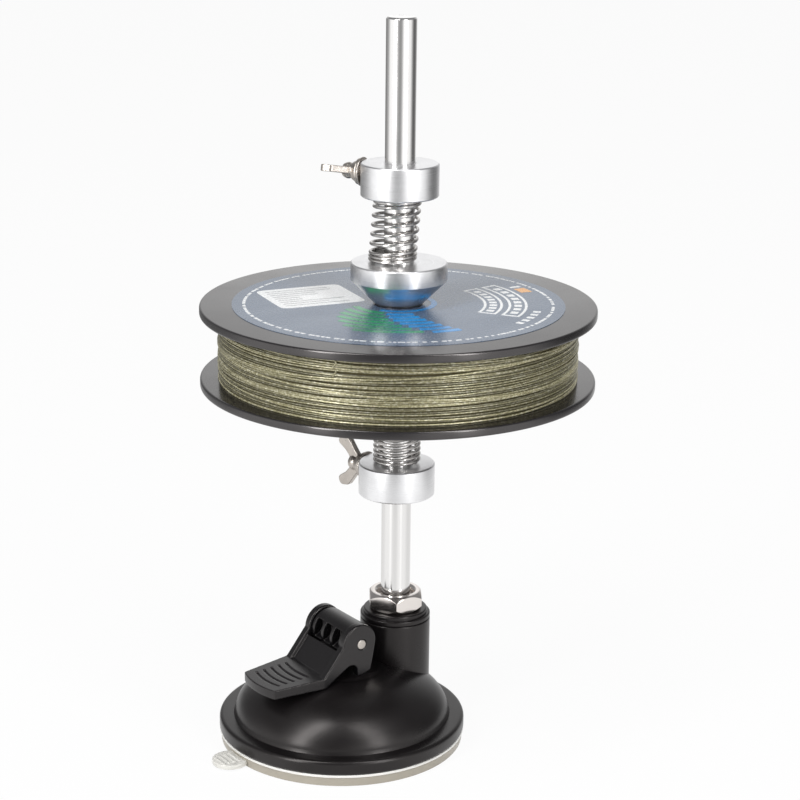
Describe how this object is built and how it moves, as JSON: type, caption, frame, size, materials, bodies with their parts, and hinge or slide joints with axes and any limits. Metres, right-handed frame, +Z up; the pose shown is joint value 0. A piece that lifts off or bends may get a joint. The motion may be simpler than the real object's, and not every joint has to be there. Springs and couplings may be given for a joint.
{
  "type": "fishing line winder",
  "caption": "Tabletop line winder: a spool of braided line between two sprung cones on a steel rod, over a suction foot with a cam lever.",
  "frame": {"origin": "where the rod's axis meets the surface that the foot stands on", "axes": "+Z up along the rod, +X from the foot's centre to the rod, so the cam lever points along -X and its hinge lies along Y"},
  "size_m": [0.11, 0.1048, 0.1938],
  "materials": {
    "pad_rubber": "satin",
    "black_plastic": "satin",
    "spool_plastic": "satin",
    "rod_steel": "polished",
    "nut_steel": "polished",
    "turned_aluminium": "satin",
    "cast_nickel": "cast and plated",
    "spring_steel": "polished",
    "braided_line": "woven",
    "label_film": "printed film"
  },
  "bodies": {
    "base": {"suction_pad": "pad_rubber", "base_housing": "black_plastic", "tower_cap": "black_plastic", "rod_ferrule": "nut_steel", "lock_nut": "nut_steel", "spool_rod": "rod_steel"},
    "stem": {"pull_stem": "black_plastic", "lever_pin": "rod_steel"},
    "lever": {"cam_lever": "black_plastic"},
    "lower_clamp": {"lower_collar": "turned_aluminium"},
    "lower_screw": {"lower_wing_screw": "cast_nickel"},
    "lower_coil": {"lower_spring": "spring_steel"},
    "spool": {"lower_cone": "turned_aluminium", "spool_hub": "spool_plastic", "lower_flange": "spool_plastic", "upper_flange": "spool_plastic", "line_winding": "braided_line", "spool_label": "label_film"},
    "upper_clamp": {"upper_collar": "turned_aluminium"},
    "upper_screw": {"upper_wing_screw": "cast_nickel"},
    "upper_coil": {"upper_spring": "spring_steel"},
    "top_cone": {"upper_cone": "turned_aluminium"}
  },
  "joints": [
    {"name": "stem_slide", "type": "slide", "parent": "base", "child": "stem", "axis": [0, 0, 1], "range_m": [-0.00188, 0], "deforming": ["suction_pad"]},
    {"name": "lever_hinge", "type": "hinge", "parent": "stem", "child": "lever", "pos_m": [-0.0174, 0, 0.0293], "axis": [0, 1, 0], "range_deg": [0, 90]},
    {"name": "lower_collar_slide", "type": "slide", "parent": "base", "child": "lower_clamp", "axis": [0, 0, 1], "range_m": [-0.0277, 0]},
    {"name": "lower_screw_turn", "type": "hinge", "parent": "lower_clamp", "child": "lower_screw", "pos_m": [-0.00265, 0.0099, 0.07175], "axis": [-0.2588, 0.9659, 0], "range_deg": [0, 360]},
    {"name": "lower_spring_compress", "type": "slide", "parent": "lower_clamp", "child": "lower_coil", "axis": [0, 0, 1], "range_m": [-0.0024, 0.008], "stiffness_N_per_m": 450, "springref_m": 0.00187, "deforming": ["lower_spring"]},
    {"name": "spool_spin", "type": "hinge", "parent": "lower_coil", "child": "spool", "pos_m": [0, 0, 0.108], "axis": [0, 0, 1], "continuous": true},
    {"name": "upper_collar_slide", "type": "slide", "parent": "base", "child": "upper_clamp", "axis": [0, 0, 1], "range_m": [0, 0.085]},
    {"name": "upper_screw_turn", "type": "hinge", "parent": "upper_clamp", "child": "upper_screw", "pos_m": [-0.00513, 0.00888, 0.15305], "axis": [-0.5, 0.866, 0], "range_deg": [0, 360]},
    {"name": "upper_spring_compress", "type": "slide", "parent": "upper_clamp", "child": "upper_coil", "axis": [0, 0, 1], "range_m": [-0.0024, 0.008], "stiffness_N_per_m": 450, "springref_m": 0.00025, "deforming": ["upper_spring"]},
    {"name": "upper_cone_spin", "type": "hinge", "parent": "upper_coil", "child": "top_cone", "pos_m": [0, 0, 0.127], "axis": [0, 0, 1], "continuous": true}
  ],
  "couplings": [
    {"joint": "lever_hinge", "follows": "stem_slide", "rad_per_m": -833.3},
    {"joint": "upper_spring_compress", "follows": "lower_spring_compress", "ratio": 1},
    {"joint": "upper_cone_spin", "follows": "spool_spin", "ratio": 1}
  ]
}
